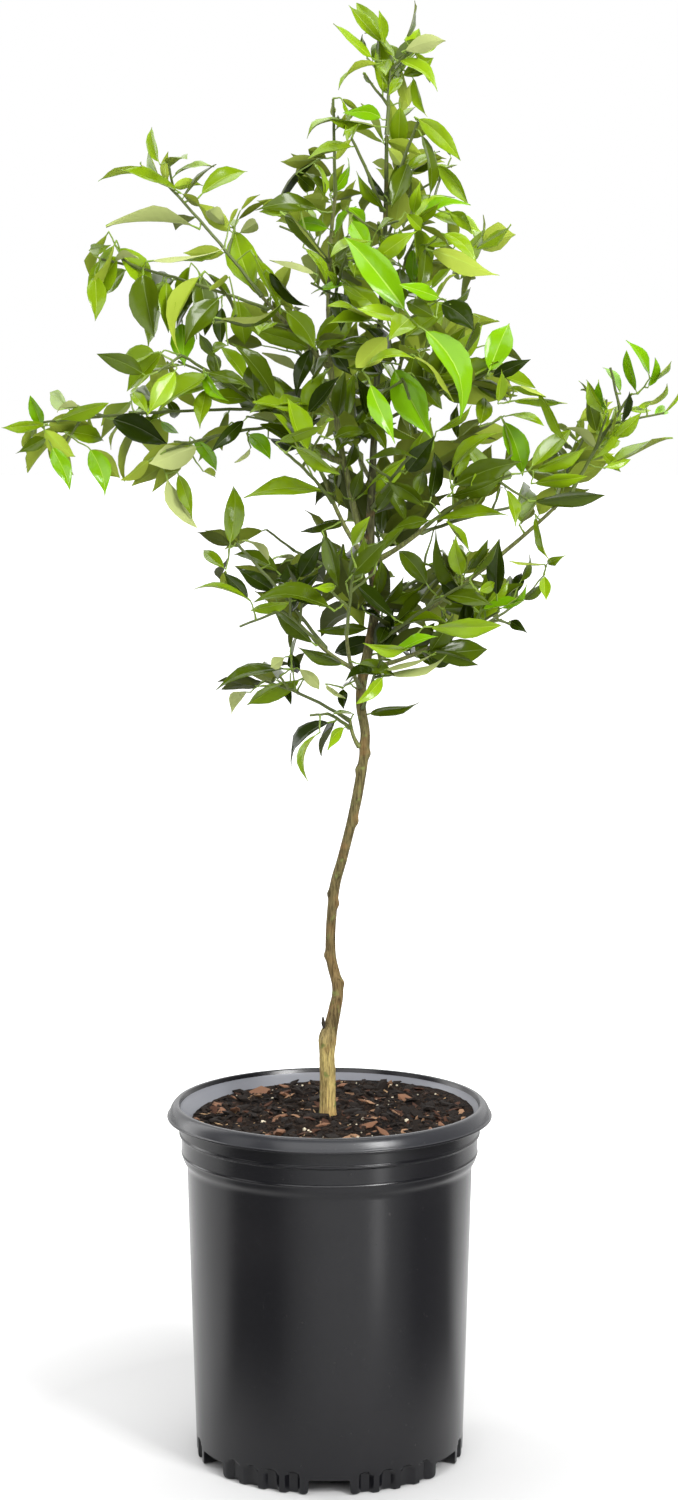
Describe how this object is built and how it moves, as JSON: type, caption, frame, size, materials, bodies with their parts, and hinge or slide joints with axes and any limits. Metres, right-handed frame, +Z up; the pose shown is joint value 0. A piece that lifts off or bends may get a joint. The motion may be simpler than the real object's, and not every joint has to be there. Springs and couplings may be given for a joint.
{
  "type": "potted clementine tree",
  "caption": "Young grafted clementine tree with loose upright leafy shoots, standing in a tall round ribbed nursery pot filled with bark mix.",
  "frame": {"origin": "on the ground, under the middle of the whole plant, at the pot's axis", "axes": "+Z up along the trunk, -Y towards the front of the plant, +X to its right as seen from the front"},
  "size_m": [0.5466, 0.3384, 1.2109],
  "materials": {
    "pot": "satin black moulded plastic",
    "potting_mix": "rough moist bark mix",
    "bark": "fine rough bark, olive to grey brown",
    "bough": "smooth green bark",
    "foliage": "glossy green leaves"
  },
  "bodies": {
    "root": {"pot": "pot", "potting_mix": "potting_mix", "trunk": "bark", "leader_left": "bough", "bough_upper_left": "bough", "bough_left": "bough", "bough_left_rise": "bough", "bough_right": "bough", "bough_right_long": "bough", "bough_low_right": "bough", "bough_low_left": "bough", "bough_bottom_left": "bough", "bough_upper_right": "bough", "bough_front": "bough", "bough_back": "bough", "bough_low_back": "bough", "bough_low_front": "bough", "leaves_top": "foliage", "leaves_top_right": "foliage", "leaves_top_left": "foliage", "leaves_top_back": "foliage", "leaves_top_front": "foliage", "leaves_left_head": "foliage", "leaves_left_crest": "foliage", "leaves_left_rear": "foliage", "leaves_left_front": "foliage", "leaves_left_inner": "foliage", "leaves_upper_left_high": "foliage", "leaves_upper_left_low": "foliage", "leaves_upper_left_mid": "foliage", "leaves_far_left": "foliage", "leaves_left": "foliage", "leaves_left_low": "foliage", "leaves_left_middle": "foliage", "leaves_centre_left": "foliage", "leaves_upper_right": "foliage", "leaves_upper_right_side": "foliage", "leaves_front": "foliage", "leaves_front_low": "foliage", "leaves_right_rear": "foliage", "leaves_right": "foliage", "leaves_centre_front": "foliage", "leaves_right_limb_high": "foliage", "leaves_right_limb_low": "foliage", "leaves_far_right": "foliage", "leaves_far_right_rear": "foliage", "leaves_low_right_front": "foliage", "leaves_low_right_rear": "foliage", "leaves_low_right": "foliage", "leaves_trunk_right": "foliage", "leaves_low_centre": "foliage", "leaves_bottom_left": "foliage", "leaves_bottom_front": "foliage", "leaves_low_left": "foliage", "leaves_low_left_far": "foliage", "leaves_low_front": "foliage", "leaves_low_back": "foliage", "leaves_low_back_left": "foliage", "leaves_back": "foliage", "leaves_back_right": "foliage"}
  },
  "joints": []
}
